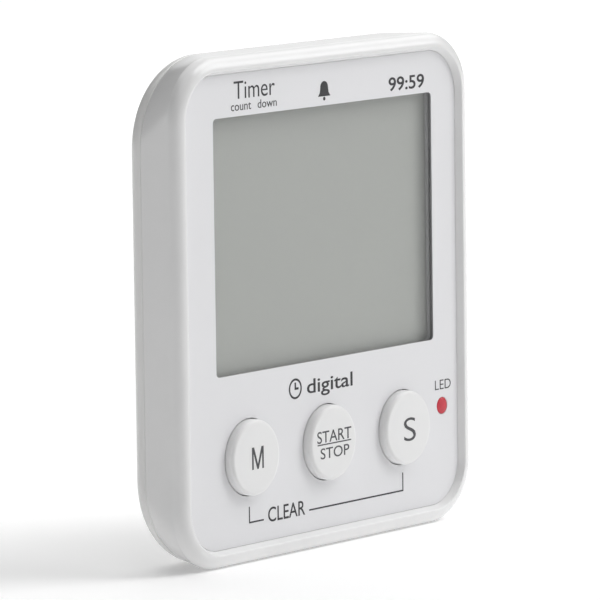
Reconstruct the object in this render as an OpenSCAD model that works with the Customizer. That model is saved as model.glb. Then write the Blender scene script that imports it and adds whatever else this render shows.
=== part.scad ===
// Digital count-up and count-down timer with an extra large display, a fold-out leg and a magnetic back.
// X runs across the face, Y from the face to the back, Z up. The origin is under the middle of the sole.

/* [Case] */
// Width of the case
body_w = 101; // [98:0.5:106]
// Height of the case
body_h = 107; // [104:0.5:112]
// Thickness of the case from the rim's crest to the back
body_d = 15; // [15:0.5:18]
// Radius of the case's corners at the front
front_corner_r = 13.3; // [11:0.1:15]
// Radius of the case's corners at the back
rear_corner_r = 19; // [16:0.1:19.4]
// Wall thickness of the case
wall = 1.6; // [1.4:0.1:1.8]
// Height of the rim above the printed face
rim_h = 1.4; // [1:0.1:1.8]
// Width of the rim from the outer wall to the printed face
rim_w = 3.8; // [3.4:0.1:4.4]

/* [Display] */
// Width of the display window
window_w = 75; // [70:0.5:76]
// Height of the display window
window_h = 54; // [50:0.5:55]
// Window centre's distance to the right of the case's centre
window_x = 0.6; // [0:0.1:1]
// Window centre's height above the case's centre
window_rise = 13.6; // [13:0.1:14]

/* [Buttons] */
// Diameter of a button
button_d = 16.1; // [15:0.1:16.4]
// Distance from one button to the next
button_pitch = 26.4; // [25:0.1:28]
// Height of the buttons' centres above the sole
button_z = 22.3; // [22:0.1:23]
// How far a button stands above the printed face
button_proud = 2; // [1.8:0.1:2.4]
// Travel of a button
button_travel = 0.8; // [0.5:0.1:0.8]

/* [Lamp] */
// Diameter of the lamp
lamp_d = 3.6; // [3:0.1:4]
// Lamp's distance to the right of the case's centre
lamp_x = 41; // [40:0.1:42]
// Height of the lamp above the sole
lamp_z = 25.3; // [24:0.1:27]

/* [Leg] */
// Width of the fold-out leg
leg_w = 38; // [30:1:40]
// Length of the leg from its hinge to its tip
leg_l = 44; // [36:1:45]
// Height of the leg's hinge above the sole
hinge_z = 57; // [55:0.5:59]

/* [Battery] */
// Diameter of the coin cell
cell_d = 20; // [20:0.5:20.5]
// Thickness of the coin cell
cell_t = 3.2; // [2.5:0.1:3.2]
// Height of the cell's centre above the sole
cell_z = 80; // [79:0.5:81]

/* [Hidden] */
$fn = 64;
corner_steps = 8;
eps = 0.01;

// Where the layers lie along Y, from the front to the back
overall_d = body_d + button_proud - rim_h;
front_y = -overall_d / 2;
face_y = front_y + button_proud;
crest_y = face_y - rim_h;
back_y = overall_d / 2;
panel_t = 0.4;
plate_y = face_y + panel_t;
plate_t = wall;
inner_y = plate_y + plate_t;
window_t = 0.8;
lcd_gap = 0.3;
lcd_y = inner_y + lcd_gap;
glass_t = 1;
lcd_t = 2 * glass_t;
board_t = 1;
zebra_t = 0.9;
board_y = lcd_y + lcd_t + zebra_t;
board_back_y = board_y + board_t;
rear_round_d = 5.2;
rear_round_w = 6;
part_y = back_y - rear_round_d;
rear_inner_y = back_y - wall;
centre_z = body_h / 2;
window_z = centre_z + window_rise;

// Rim
rim_round_w = 2.8;
rim_round_d = 2.6;
rim_inner_w = 3;

// Fits
hole_gap = 0.2;
slip_gap = 0.1;
press_gap = 0.05;
lip_gap = 0.05;
lip_t = 1;
lip_h = 1.2;
hollow_step_d = 1.6;
hollow_step_w = 0.5;
hollow_w = 2.2;

// Buttons and the silicone mat behind them
flange_r = button_d / 2 + 1.2;
flange_t = 0.8;
cap_wall = 1.4;
cap_top_t = 1.5;
stem_r = 2.4;
pill_r = 2;
pill_t = 0.4;
button_round = 0.9;
dome_h = 1.2;
web_t = 0.7;
dome_r = 5.2;
dome_top_r = 3.2;
dome_wall = 0.6;
dome_side = 0.8;
mat_side = 8;
mat_h = 18;
button_x = [-button_pitch, 0, button_pitch];

// Case screws and their bosses, and board screws and theirs
case_screw_x = 34;
case_screw_z = [8.6, body_h - 8.4];
case_screw_r = 1;
case_head_r = 1.9;
case_head_t = 1.4;
case_boss_r = 2.3;
case_post_r = 3.2;
head_seat_y = part_y + 1.6;
screw_gap = 0.2;
cross_share = 1.2;
cross_w = 0.4;
cross_d = 0.6;
board_screw_x = 43.9;
board_screw_z = [34, 90];
board_screw_r = 0.9;
board_head_r = 1.6;
board_head_t = 1.1;
board_boss_r = 1.9;

// Display layers
window_r = 1;
pane_margin = 1.9;
opening_margin = 0.3;
lcd_margin = 2.1;
lcd_w = window_w + 2 * lcd_margin;
lcd_top = window_z + window_h / 2 + 1.4;
lcd_bottom = window_z - window_h / 2 - 3.2;
ledge_h = 2.4;
frame_wall = 1.2;
frame_top = 0.5;
reflector_inset = 1;
reflector_t = 0.2;
zebra_inset = 4;
zebra_gap = 0.3;

// Circuit board and its parts
board_w = 93;
board_bottom = 11.6;
board_top = body_h - 11;
board_corner_r = 9;
blob_at = [-20, 46];
blob_r = 8;
blob_t = 1.3;
crystal_at = [-36, 50];
crystal_l = 6;
crystal_r = 1;
crystal_lead_l = 3;
chip_size = [2, 1.25];
chip_pitch = 3.2;
capacitor_t = 0.9;
resistor_t = 0.5;
left_row_z = 62;
right_row_z = 56;

// Lamp
collar_w = 0.4;
collar_t = 0.9;
collar_y = inner_y + 0.3;
lead_pitch = 2.54;
lead_r = 0.25;
lead_hole_r = 0.4;

// Battery bay
door_t = 1.5;
door_r = 13.3;
cell_back_y = back_y - door_t - 0.3;
cell_y = cell_back_y - cell_t;
cup_floor_t = 0.9;
cup_wall = 1.2;
cup_r = cell_d / 2 + 0.3;
door_pad_r = 16.4;
door_pad_d = 3.6;
coin_slot = [13, 2, 0.9];
lug_r = 14.5;
lug_t = 0.7;
lug_angle = 22;
entry_angle = lug_angle + 6;
release_angle = 50;
groove_r = 14.8;

// Battery contacts
strip_t = 0.24;
strip_x = cup_r - 0.28;
strip_w = 3.6;
strip_foot_l = 3.28;
strip_top_y = cell_back_y - 1;
foot_t = 0.3;
tongue_w = 4;
tongue_l = 3.5;
tongue_opening = 6;

// Leg
leg_t = 2;
recess_d = 2.4;
recess_gap = 0.4;
hinge_y = back_y - 2.1;
knuckle_r = 1.8;
pin_r = 0.8;
pin_fit = 0.05;
pin_l = leg_w + 6;
pocket_y = hinge_y - 2.2;
pocket_top = hinge_z + 2.6;
pad_wall = 1.1;
hinge_pad_low = 3.6;
hinge_pad_high = 3.7;
leg_pad_side = 1.5;
leg_pad_tip = 2;
leg_corner_r = 1.6;
recess_corner_r = 2;
scoop_r = 6;
scoop_drop = 1;

// Magnets and buzzer
magnet_r = 6;
magnet_t = 2.1;
magnet_wall = 1.3;
magnet_x = 33.5;
buzzer_x = 33;
buzzer_z = 40;
buzzer_r = 10;
buzzer_rib_t = 0.9;
buzzer_rib_w = 1;
buzzer_t = 0.3;
ceramic_t = 0.2;
ceramic_share = 0.7;
wire_r = 0.35;
sound_hole_r = 0.75;
sound_ring_r = 3.6;

function rounded_rect(w, h, r) = [
    for (corner = [[1, 1, 0], [-1, 1, 90], [-1, -1, 180], [1, -1, 270]])
        for (i = [0 : corner_steps])
            let (a = corner[2] + 90 * i / corner_steps)
            [corner[0] * (w / 2 - r) + r * cos(a), corner[1] * (h / 2 - r) + r * sin(a)]
];

// A flat slab of the case's outline, drawn in by inset, between two depths
module outline_slab(y0, y1, inset, corner_r) {
    translate([0, y1, centre_z])
        rotate([90, 0, 0])
            linear_extrude(y1 - y0)
                polygon(rounded_rect(body_w - 2 * inset, body_h - 2 * inset, corner_r - inset));
}

// A flat slab with rounded corners, centred at x and z, between two depths
module slab(x, z, w, h, r, y0, y1) {
    translate([x, y1, z])
        rotate([90, 0, 0])
            linear_extrude(y1 - y0)
                polygon(rounded_rect(w, h, r));
}

// A slab of the window's outline, widened by a margin, between two depths
module window_slab(margin, y0, y1) {
    slab(window_x, window_z, window_w + 2 * margin, window_h + 2 * margin, window_r + margin, y0, y1);
}

// A plain block between two depths
module block(x0, x1, z0, z1, y0, y1) {
    translate([x0, y0, z0]) cube([x1 - x0, y1 - y0, z1 - z0]);
}

// A round bar along Y
module rod(x, z, r, y0, y1) {
    translate([x, y1, z]) rotate([90, 0, 0]) cylinder(h = y1 - y0, r = r);
}

// A turned shape about a line along Y. Each point is a radius and a depth.
module turned(x, z, points, angle = 360) {
    translate([x, 0, z])
        rotate([90, 0, 0])
            rotate_extrude(angle = angle)
                polygon([for (p = points) [p[0], -p[1]]]);
}

// The front half's outside: a rounded rim, then straight walls that widen to the rear corner radius
module front_solid() {
    hull() {
        for (a = [0 : 15 : 90])
            let (y = crest_y + rim_round_d * (1 - cos(a)))
            outline_slab(y, y + eps, rim_round_w * (1 - sin(a)), front_corner_r);
        outline_slab(part_y - eps, part_y, 0, rear_corner_r);
    }
}

// The rear half's outside: an elliptical edge that rounds into the flat back
module rear_solid() {
    hull() {
        for (a = [0 : 15 : 90])
            let (y = part_y + rear_round_d * sin(a))
            outline_slab(a > 0 ? y - eps : y, a > 0 ? y : y + eps, rear_round_w * (1 - cos(a)),
                rear_corner_r);
    }
}

// The well inside the rim, with its sloping inner wall
module face_well() {
    hull() {
        outline_slab(crest_y - 1, crest_y - 1 + eps, rim_inner_w - 0.5, front_corner_r);
        outline_slab(crest_y, crest_y + eps, rim_inner_w, front_corner_r);
        outline_slab(face_y - eps, face_y, rim_w, front_corner_r);
    }
    outline_slab(face_y - eps, plate_y, rim_w, front_corner_r);
}

module front_housing() {
    color("whitesmoke")
        difference() {
            union() {
                difference() {
                    front_solid();
                    face_well();
                    outline_slab(inner_y, part_y + 1, wall, rear_corner_r);
                }
                for (x = [-case_screw_x, case_screw_x], z = case_screw_z)
                    rod(x, z, case_boss_r, inner_y - eps, part_y - 0.1);
                for (x = [-board_screw_x, board_screw_x], z = board_screw_z)
                    rod(x, z, board_boss_r, inner_y - eps, board_y);
            }
            window_slab(pane_margin + slip_gap, plate_y - eps, plate_y + window_t);
            window_slab(opening_margin, plate_y, inner_y + 1);
            for (x = button_x)
                rod(x, button_z, button_d / 2 + hole_gap, plate_y - 1, inner_y + 1);
            rod(lamp_x, lamp_z, lamp_d / 2 + slip_gap, plate_y - 1, inner_y + 1);
            for (x = [-case_screw_x, case_screw_x], z = case_screw_z)
                rod(x, z, case_screw_r, inner_y + 1, part_y + 1);
            for (x = [-board_screw_x, board_screw_x], z = board_screw_z)
                rod(x, z, board_screw_r, inner_y + 0.4, board_y + 1);
        }
}

// The rear cover's hollow, in two steps inside the rounded edge
module rear_hollow() {
    outline_slab(part_y - 1, part_y + hollow_step_d, wall + hollow_step_w, rear_corner_r);
    outline_slab(part_y, rear_inner_y, wall + hollow_w, rear_corner_r);
}

// The lip that locates the rear cover inside the front housing
module rear_lip() {
    difference() {
        outline_slab(part_y - lip_h, part_y + 1, wall + lip_gap, rear_corner_r);
        outline_slab(part_y - lip_h - 1, part_y + 2, wall + lip_gap + lip_t, rear_corner_r);
    }
}

// Solid pads inside the rear cover that hold the door, the leg, the magnets, the buzzer and the screws
module rear_pads() {
    tip_z = hinge_z - leg_l;
    pad_y = back_y - recess_d - pad_wall;
    back_of_pads = rear_inner_y + eps;
    pad_top = hinge_z + hinge_pad_high;
    pad_bottom = tip_z - leg_pad_tip;
    rod(0, cell_z, door_pad_r, back_y - door_pad_d, back_of_pads);
    rod(0, cell_z, cup_r + cup_wall, cell_y - cup_floor_t, rear_inner_y);
    slab(0, (pad_top + pad_bottom) / 2, leg_w + 2 * leg_pad_side, pad_top - pad_bottom, 3,
        pad_y, back_of_pads);
    rod(0, tip_z - scoop_drop, scoop_r + pad_wall, pad_y, back_of_pads);
    block(-pin_l / 2 - cup_wall, pin_l / 2 + cup_wall, hinge_z - hinge_pad_low, pad_top,
        pocket_y - pad_wall, back_of_pads);
    for (x = [-magnet_x, magnet_x])
        rod(x, cell_z, magnet_r + magnet_wall, back_y - magnet_t - pad_wall, back_of_pads);
    for (x = [-case_screw_x, case_screw_x], z = case_screw_z)
        rod(x, z, case_post_r, part_y, back_of_pads);
    difference() {
        rod(buzzer_x, buzzer_z, buzzer_r, rear_inner_y - buzzer_rib_t, back_of_pads);
        rod(buzzer_x, buzzer_z, buzzer_r - buzzer_rib_w, rear_inner_y - 2, rear_inner_y);
    }
}

// The battery bay: a stepped round hole with the groove that the door's lugs turn in, the two entries
// to that groove, and the slots that the contacts rise through
module battery_bay() {
    ledge_y = back_y - door_t - slip_gap;
    lip_y = back_y - door_t + lug_t + slip_gap;
    entry_r = (lug_r + groove_r) / 2;
    turned(0, cell_z, [[0, cell_y], [cup_r, cell_y], [cup_r, ledge_y], [groove_r, ledge_y], [groove_r, lip_y],
        [door_r + slip_gap, lip_y], [door_r + slip_gap, back_y + 1], [0, back_y + 1]]);
    for (side = [0, 180])
        translate([0, 0, cell_z])
            rotate([0, -side + release_angle + entry_angle / 2, 0])
                turned(0, 0, [[door_r - 1, lip_y - 0.4], [entry_r, lip_y - 0.4],
                    [entry_r, back_y + 1], [door_r - 1, back_y + 1]], entry_angle);
    half = tongue_opening / 2;
    strip_half = strip_w / 2 + recess_gap;
    under_y = cell_y - cup_floor_t - 1;
    block(-half, half, cell_z - half, cell_z + half, under_y, cell_y + 1);
    block(cup_r - 1.4, cup_r + 0.7, cell_z - strip_half, cell_z + strip_half, under_y, strip_top_y + 0.2);
}

// The leg's recess with its deeper hinge pocket, the pin's bore and a scoop for a fingertip
module leg_bay() {
    tip_z = hinge_z - leg_l;
    slab(0, (pocket_top + tip_z - recess_gap) / 2, leg_w + 2 * recess_gap, pocket_top - tip_z + recess_gap,
        recess_corner_r, back_y - recess_d, back_y + 1);
    block(-leg_w / 2 - recess_gap, leg_w / 2 + recess_gap, hinge_z - 2.4, pocket_top, pocket_y, back_y + 1);
    translate([-pin_l / 2, hinge_y, hinge_z]) rotate([0, 90, 0]) cylinder(h = pin_l, r = pin_r);
    rod(0, tip_z - scoop_drop, scoop_r, back_y - recess_d, back_y + 1);
}

module rear_housing() {
    color("whitesmoke")
        difference() {
            union() {
                difference() {
                    rear_solid();
                    rear_hollow();
                }
                rear_lip();
                rear_pads();
            }
            battery_bay();
            leg_bay();
            for (x = [-magnet_x, magnet_x])
                rod(x, cell_z, magnet_r + slip_gap, back_y - magnet_t - slip_gap, back_y + 1);
            for (x = [-case_screw_x, case_screw_x], z = case_screw_z) {
                rod(x, z, case_screw_r + screw_gap, part_y - 2, back_y + 1);
                rod(x, z, case_head_r + screw_gap, head_seat_y, back_y + 1);
            }
            rod(buzzer_x, buzzer_z, sound_hole_r, rear_inner_y - 1, back_y + 1);
            for (a = [0 : 60 : 300])
                rod(buzzer_x + sound_ring_r * cos(a), buzzer_z + sound_ring_r * sin(a), sound_hole_r,
                    rear_inner_y - 1, back_y + 1);
        }
}

module face_panel() {
    color("gainsboro")
        difference() {
            outline_slab(face_y, plate_y, rim_w + lip_gap, front_corner_r);
            window_slab(0, face_y - 1, plate_y + 1);
            for (x = button_x)
                rod(x, button_z, button_d / 2 + hole_gap, face_y - 1, plate_y + 1);
            rod(lamp_x, lamp_z, lamp_d / 2 + slip_gap, face_y - 1, plate_y + 1);
        }
}

module display_window() {
    color("white", 0.4)
        window_slab(pane_margin, plate_y, plate_y + window_t);
}

// Two bonded panes. The rear one is shorter, so the front one keeps a ledge for its contacts.
module lcd_cell() {
    mid_z = (lcd_top + lcd_bottom) / 2;
    color("darkseagreen") {
        block(window_x - lcd_w / 2, window_x + lcd_w / 2, lcd_bottom, lcd_top, lcd_y, lcd_y + glass_t);
        block(window_x - lcd_w / 2, window_x + lcd_w / 2, lcd_bottom + ledge_h, lcd_top,
            lcd_y + glass_t - eps, lcd_y + lcd_t);
    }
}

module lcd_frame() {
    color("dimgray")
        difference() {
            block(window_x - lcd_w / 2 - frame_wall, window_x + lcd_w / 2 + frame_wall,
                lcd_bottom - frame_wall, lcd_top + frame_top, inner_y + slip_gap, board_y);
            block(window_x - lcd_w / 2 - slip_gap, window_x + lcd_w / 2 + slip_gap,
                lcd_bottom - slip_gap, lcd_top + slip_gap, inner_y - 1, board_y + 1);
        }
}

module lcd_reflector() {
    color("silver")
        block(window_x - lcd_w / 2 + reflector_inset, window_x + lcd_w / 2 - reflector_inset,
            lcd_bottom + ledge_h + reflector_inset, lcd_top - reflector_inset,
            lcd_y + lcd_t, lcd_y + lcd_t + reflector_t);
}

module zebra_strip() {
    color("dimgray")
        block(window_x - lcd_w / 2 + zebra_inset, window_x + lcd_w / 2 - zebra_inset,
            lcd_bottom + zebra_gap, lcd_bottom + ledge_h - zebra_gap, lcd_y + glass_t, board_y);
}

module circuit_board() {
    color("darkgreen")
        difference() {
            slab(0, (board_top + board_bottom) / 2, board_w, board_top - board_bottom, board_corner_r,
                board_y, board_back_y);
            for (x = [-board_screw_x, board_screw_x], z = board_screw_z)
                rod(x, z, board_screw_r + screw_gap, board_y - 1, board_back_y + 1);
            for (side = [-1, 1])
                rod(lamp_x + side * lead_pitch / 2, lamp_z, lead_hole_r, board_y - 1, board_back_y + 1);
        }
}

// A round blob of resin over the chip
module controller_chip() {
    color("black")
        turned(blob_at[0], blob_at[1], [[0, board_back_y], [blob_r, board_back_y],
            [blob_r - 0.6, board_back_y + blob_t - 0.7], [blob_r - 2.6, board_back_y + blob_t - 0.2],
            [0, board_back_y + blob_t]]);
}

// A small can that lies on the board, with its two leads
module quartz_crystal() {
    y = board_back_y + crystal_r + 0.05;
    color("silver")
        translate([crystal_at[0], y, crystal_at[1]]) cylinder(h = crystal_l, r = crystal_r);
    color("silver")
        for (side = [-0.4, 0.4])
            translate([crystal_at[0] + side, y, crystal_at[1] - crystal_lead_l])
                cylinder(h = crystal_lead_l + eps, r = 0.2);
}

// Small boxes in a row on the back of the board
module chip_row(x, z, count, t) {
    for (i = [0 : count - 1])
        block(x - chip_size[0] / 2, x + chip_size[0] / 2, z + i * chip_pitch - chip_size[1] / 2,
            z + i * chip_pitch + chip_size[1] / 2, board_back_y, board_back_y + t);
}

module chip_capacitors() {
    color("tan") {
        chip_row(-34, left_row_z, 3, capacitor_t);
        chip_row(32, right_row_z, 2, capacitor_t);
    }
}

module chip_resistors() {
    color("black") {
        chip_row(-28, left_row_z, 4, resistor_t);
        chip_row(26, right_row_z, 2, resistor_t);
    }
}

// One silicone moulding: a web on the board with a hollow dome under each button
module keypad_mat() {
    web_y = board_y - web_t;
    roof_y = web_y - dome_h;
    color("gray")
        difference() {
            union() {
                slab(0, button_z, 2 * (button_pitch + mat_side), mat_h, 3, web_y, board_y);
                for (x = button_x)
                    turned(x, button_z, [[0, board_y - 0.2], [dome_r, board_y - 0.2], [dome_r, web_y],
                        [dome_top_r, roof_y], [0, roof_y]]);
            }
            for (x = button_x)
                turned(x, button_z, [[0, board_y + 1], [dome_r - dome_side, board_y + 1],
                    [dome_r - dome_side, web_y], [dome_top_r - dome_side / 2, roof_y + dome_wall],
                    [0, roof_y + dome_wall]]);
        }
}

// A hollow cap with a retaining flange behind the face and a stem that presses its dome
module button(x) {
    r = button_d / 2;
    cavity_r = r - cap_wall;
    cavity_y = front_y + cap_top_t;
    flange_y = inner_y + slip_gap;
    stem_y = board_y - web_t - dome_h - press_gap;
    turned(x, button_z, concat(
        [[0, front_y], [r - button_round, front_y]],
        [for (a = [15 : 15 : 90])
            [r - button_round + button_round * sin(a), front_y + button_round * (1 - cos(a))]],
        [[r, flange_y], [flange_r, flange_y], [flange_r, flange_y + flange_t],
            [cavity_r, flange_y + flange_t], [cavity_r, cavity_y], [stem_r, cavity_y],
            [stem_r, stem_y], [0, stem_y]]));
}

// A carbon pill that hangs inside the dome and closes the board's track
module contact_pill(x) {
    pill_back_y = board_y - button_travel - press_gap;
    rod(x, button_z, pill_r, pill_back_y - pill_t, pill_back_y);
}

module minutes_button() { color("whitesmoke") button(button_x[0]); }
module start_stop_button() { color("whitesmoke") button(button_x[1]); }
module seconds_button() { color("whitesmoke") button(button_x[2]); }
module minutes_contact() { color("black") contact_pill(button_x[0]); }
module start_stop_contact() { color("black") contact_pill(button_x[1]); }
module seconds_contact() { color("black") contact_pill(button_x[2]); }

module led_lamp() {
    r = lamp_d / 2;
    color("crimson")
        turned(lamp_x, lamp_z, [[0, face_y - 0.2], [r * 0.5, face_y - 0.17], [r * 0.85, face_y - 0.08],
            [r, face_y + 0.05], [r, collar_y], [r + collar_w, collar_y],
            [r + collar_w, collar_y + collar_t], [0, collar_y + collar_t]]);
}

module led_leads() {
    color("silver")
        for (side = [-1, 1])
            rod(lamp_x + side * lead_pitch / 2, lamp_z, lead_r, collar_y + collar_t, board_back_y + 1);
}

module buzzer_disc() {
    disc_y = rear_inner_y - buzzer_rib_t;
    color("goldenrod") rod(buzzer_x, buzzer_z, buzzer_r, disc_y - buzzer_t, disc_y);
}

module buzzer_ceramic() {
    disc_y = rear_inner_y - buzzer_rib_t - buzzer_t;
    color("white") rod(buzzer_x, buzzer_z, buzzer_r * ceramic_share, disc_y - ceramic_t, disc_y);
}

// Two insulated wires from the sounder to the board, each a chain of straight lengths
module buzzer_wires() {
    disc_y = rear_inner_y - buzzer_rib_t - buzzer_t;
    pad_y = board_back_y + wire_r + 0.05;
    ceramic_y = disc_y - ceramic_t;
    from_ceramic = [[0, ceramic_y - wire_r - 0.05, -2], [2, 3.4, -8], [3, 1.9, -13], [3, pad_y, -16]];
    from_disc = [[8, disc_y - wire_r - 0.05, 0], [9.6, 3.2, -7], [9, 1.9, -18], [7, pad_y, -20.5]];
    color("firebrick")
        translate([buzzer_x, 0, buzzer_z])
            for (route = [from_ceramic, from_disc], i = [0 : len(route) - 2])
                hull() {
                    translate(route[i]) sphere(r = wire_r, $fn = 10);
                    translate(route[i + 1]) sphere(r = wire_r, $fn = 10);
                }
}

module coin_cell() {
    r = cell_d / 2;
    color("silver")
        turned(0, cell_z, [[0, cell_y], [r - 1.4, cell_y], [r - 1.1, cell_y + 0.4], [r - 0.2, cell_y + 0.5],
            [r, cell_y + 0.7], [r, cell_back_y - 0.2], [r - 0.2, cell_back_y], [0, cell_back_y]]);
}

// A bent strip that rises from the board beside the cell and bears on its rim
module positive_contact() {
    low_z = cell_z - strip_w / 2;
    high_z = cell_z + strip_w / 2;
    color("gold") {
        block(strip_x, strip_x + strip_t, low_z, high_z, board_back_y, strip_top_y);
        block(strip_x, strip_x + strip_foot_l, low_z, high_z, board_back_y, board_back_y + foot_t);
    }
}

// A sprung tongue that rises from the board to the middle of the cell
module negative_contact() {
    half = tongue_w / 2;
    low_z = cell_z - 2.5;
    color("gold") {
        block(-half, half, low_z, cell_z + 2.5, board_back_y, board_back_y + foot_t);
        block(-half, half, low_z, low_z + foot_t, board_back_y, cell_y);
        block(-half, half, low_z, low_z + tongue_l, cell_y - foot_t, cell_y);
    }
}

// A flush disc with a coin slot and two lugs that turn under the cover
module battery_door() {
    door_y = back_y - door_t;
    color("whitesmoke")
        difference() {
            union() {
                rod(0, cell_z, door_r, door_y, back_y);
                for (side = [0, 180])
                    translate([0, 0, cell_z])
                        rotate([0, -side + lug_angle / 2, 0])
                            turned(0, 0, [[door_r - 1, door_y], [lug_r, door_y], [lug_r, door_y + lug_t],
                                [door_r - 1, door_y + lug_t]], lug_angle);
            }
            slab(0, cell_z, coin_slot[0], coin_slot[1], 0.9, back_y - coin_slot[2], back_y + 1);
        }
}

// The leg's plate with its knuckle and a fingertip notch
module stand_leg() {
    tip_z = hinge_z - leg_l;
    leg_y = back_y - leg_t - 0.2;
    color("whitesmoke")
        difference() {
            union() {
                slab(0, (hinge_z - 0.6 + tip_z) / 2, leg_w, leg_l - 0.6, leg_corner_r,
                    leg_y, leg_y + leg_t);
                translate([-leg_w / 2, hinge_y, hinge_z])
                    rotate([0, 90, 0])
                        cylinder(h = leg_w, r = knuckle_r);
            }
            translate([-leg_w / 2 - 1, hinge_y, hinge_z])
                rotate([0, 90, 0]) cylinder(h = leg_w + 2, r = pin_r + pin_fit);
        }
}

module stand_pin() {
    color("silver")
        translate([-pin_l / 2, hinge_y, hinge_z]) rotate([0, 90, 0]) cylinder(h = pin_l, r = pin_r);
}

module magnets() {
    color("dimgray")
        for (x = [-magnet_x, magnet_x])
            rod(x, cell_z, magnet_r, back_y - magnet_t - slip_gap, back_y - slip_gap);
}

module screw(x, z, shank_r, head_r, head_t, seat_y, tip_y) {
    difference() {
        union() {
            rod(x, z, shank_r, tip_y, seat_y + eps);
            rod(x, z, head_r, seat_y, seat_y + head_t);
        }
        for (turn = [0, 90])
            translate([x, seat_y + head_t, z])
                rotate([0, turn, 0])
                    cube([head_r * cross_share, 2 * cross_d, cross_w], center = true);
    }
}

module case_screws() {
    color("silver")
        for (x = [-case_screw_x, case_screw_x], z = case_screw_z)
            screw(x, z, case_screw_r, case_head_r, case_head_t, head_seat_y, inner_y + 1.2);
}

module board_screws() {
    color("silver")
        for (x = [-board_screw_x, board_screw_x], z = board_screw_z)
            screw(x, z, board_screw_r, board_head_r, board_head_t, board_back_y, inner_y + 0.6);
}

front_housing();
rear_housing();
face_panel();
display_window();
lcd_cell();
lcd_frame();
lcd_reflector();
zebra_strip();
circuit_board();
controller_chip();
quartz_crystal();
chip_capacitors();
chip_resistors();
keypad_mat();
minutes_button();
minutes_contact();
start_stop_button();
start_stop_contact();
seconds_button();
seconds_contact();
led_lamp();
led_leads();
buzzer_disc();
buzzer_ceramic();
buzzer_wires();
coin_cell();
positive_contact();
negative_contact();
battery_door();
stand_leg();
stand_pin();
magnets();
case_screws();
board_screws();
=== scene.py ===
"""A digital timer with an extra large display: moulded shells, printed face, buttons, back and studio.

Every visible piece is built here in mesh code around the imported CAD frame. Sizes are in millimetres and the
meshes are scaled to metres once, as they are made. X runs across the face, Y from the face to the back
and Z up. A cutter runs PAST beyond the surface it cuts, or BEVEL_RUN where its mouth is bevelled.
"""

import math

import bmesh
import bpy
from mathutils import Matrix, Vector


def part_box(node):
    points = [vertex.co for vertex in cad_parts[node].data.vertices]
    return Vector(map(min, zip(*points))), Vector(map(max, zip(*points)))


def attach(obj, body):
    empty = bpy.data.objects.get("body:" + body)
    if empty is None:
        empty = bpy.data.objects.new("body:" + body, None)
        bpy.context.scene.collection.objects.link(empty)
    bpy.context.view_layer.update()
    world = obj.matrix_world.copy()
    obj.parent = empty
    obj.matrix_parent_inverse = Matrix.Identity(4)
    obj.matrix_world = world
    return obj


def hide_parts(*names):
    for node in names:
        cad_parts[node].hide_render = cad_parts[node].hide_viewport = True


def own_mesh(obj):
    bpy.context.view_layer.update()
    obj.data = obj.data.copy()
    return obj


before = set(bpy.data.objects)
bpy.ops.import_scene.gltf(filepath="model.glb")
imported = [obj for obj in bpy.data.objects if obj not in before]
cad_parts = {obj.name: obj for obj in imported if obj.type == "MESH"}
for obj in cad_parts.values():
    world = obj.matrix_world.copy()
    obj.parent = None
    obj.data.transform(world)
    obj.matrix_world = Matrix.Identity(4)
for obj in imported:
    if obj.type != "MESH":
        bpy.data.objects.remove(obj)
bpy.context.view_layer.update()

MM = 0.001
EPS = 0.01
CORNER_STEPS = 20
ROUND_STEPS = 14
TURN_STEPS = 96
SHARP_ANGLE = math.radians(28)
SMALLEST_R = 0.02
PAST = 1.0
BEVEL_RUN = 0.5


# --- Places and sizes, from the CAD frame ---------------------------------------------------------


def box_mm(node):
    """The lowest and highest corner of a CAD node, in millimetres."""
    low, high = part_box(node)
    return low / MM, high / MM


def middle(node):
    """The centre of a CAD node's box, in millimetres."""
    low, high = box_mm(node)
    return (low + high) / 2


FRONT_LOW, FRONT_HIGH = box_mm("front_housing")
FILM_LOW, FILM_HIGH = box_mm("face_panel")
PANE_LOW, PANE_HIGH = box_mm("display_window")
LCD_LOW, LCD_HIGH = box_mm("lcd_cell")
LAMP_LOW, LAMP_HIGH = box_mm("led_lamp")
LEG_LOW, LEG_HIGH = box_mm("stand_leg")
KEY_NODES = {"minutes": "minutes_button", "start_stop": "start_stop_button", "seconds": "seconds_button"}

BODY_W = FRONT_HIGH.x - FRONT_LOW.x
BODY_H = FRONT_HIGH.z - FRONT_LOW.z
CENTRE_Z = (FRONT_HIGH.z + FRONT_LOW.z) / 2
CREST_Y = FRONT_LOW.y
PART_Y = FRONT_HIGH.y
BACK_Y = box_mm("rear_housing")[1].y
FACE_Y = FILM_LOW.y
PLATE_Y = FILM_HIGH.y
INNER_Y = PANE_HIGH.y + 0.8
KEY_TOP_Y = box_mm("start_stop_button")[0].y

# The case's corners and rim
FRONT_CORNER_R = 13.3
REAR_CORNER_R = 19.0
WALL = 1.6
RIM_W = 3.8
RIM_ROUND_W = 2.8
RIM_ROUND_D = 2.6
RIM_INNER_W = 3.0
RIM_EDGE_R = 0.34
REAR_ROUND_D = BACK_Y - PART_Y
REAR_ROUND_W = 6.0
SEAM = 0.14

# The window in the face, inside the clear pane's glued margin
PANE_MARGIN = 1.9
WINDOW_W = PANE_HIGH.x - PANE_LOW.x - 2 * PANE_MARGIN
WINDOW_H = PANE_HIGH.z - PANE_LOW.z - 2 * PANE_MARGIN
WINDOW_X = (PANE_LOW.x + PANE_HIGH.x) / 2
WINDOW_Z = (PANE_LOW.z + PANE_HIGH.z) / 2
WINDOW_R = 1.0
PLATE_MARGIN = 0.3

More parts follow.
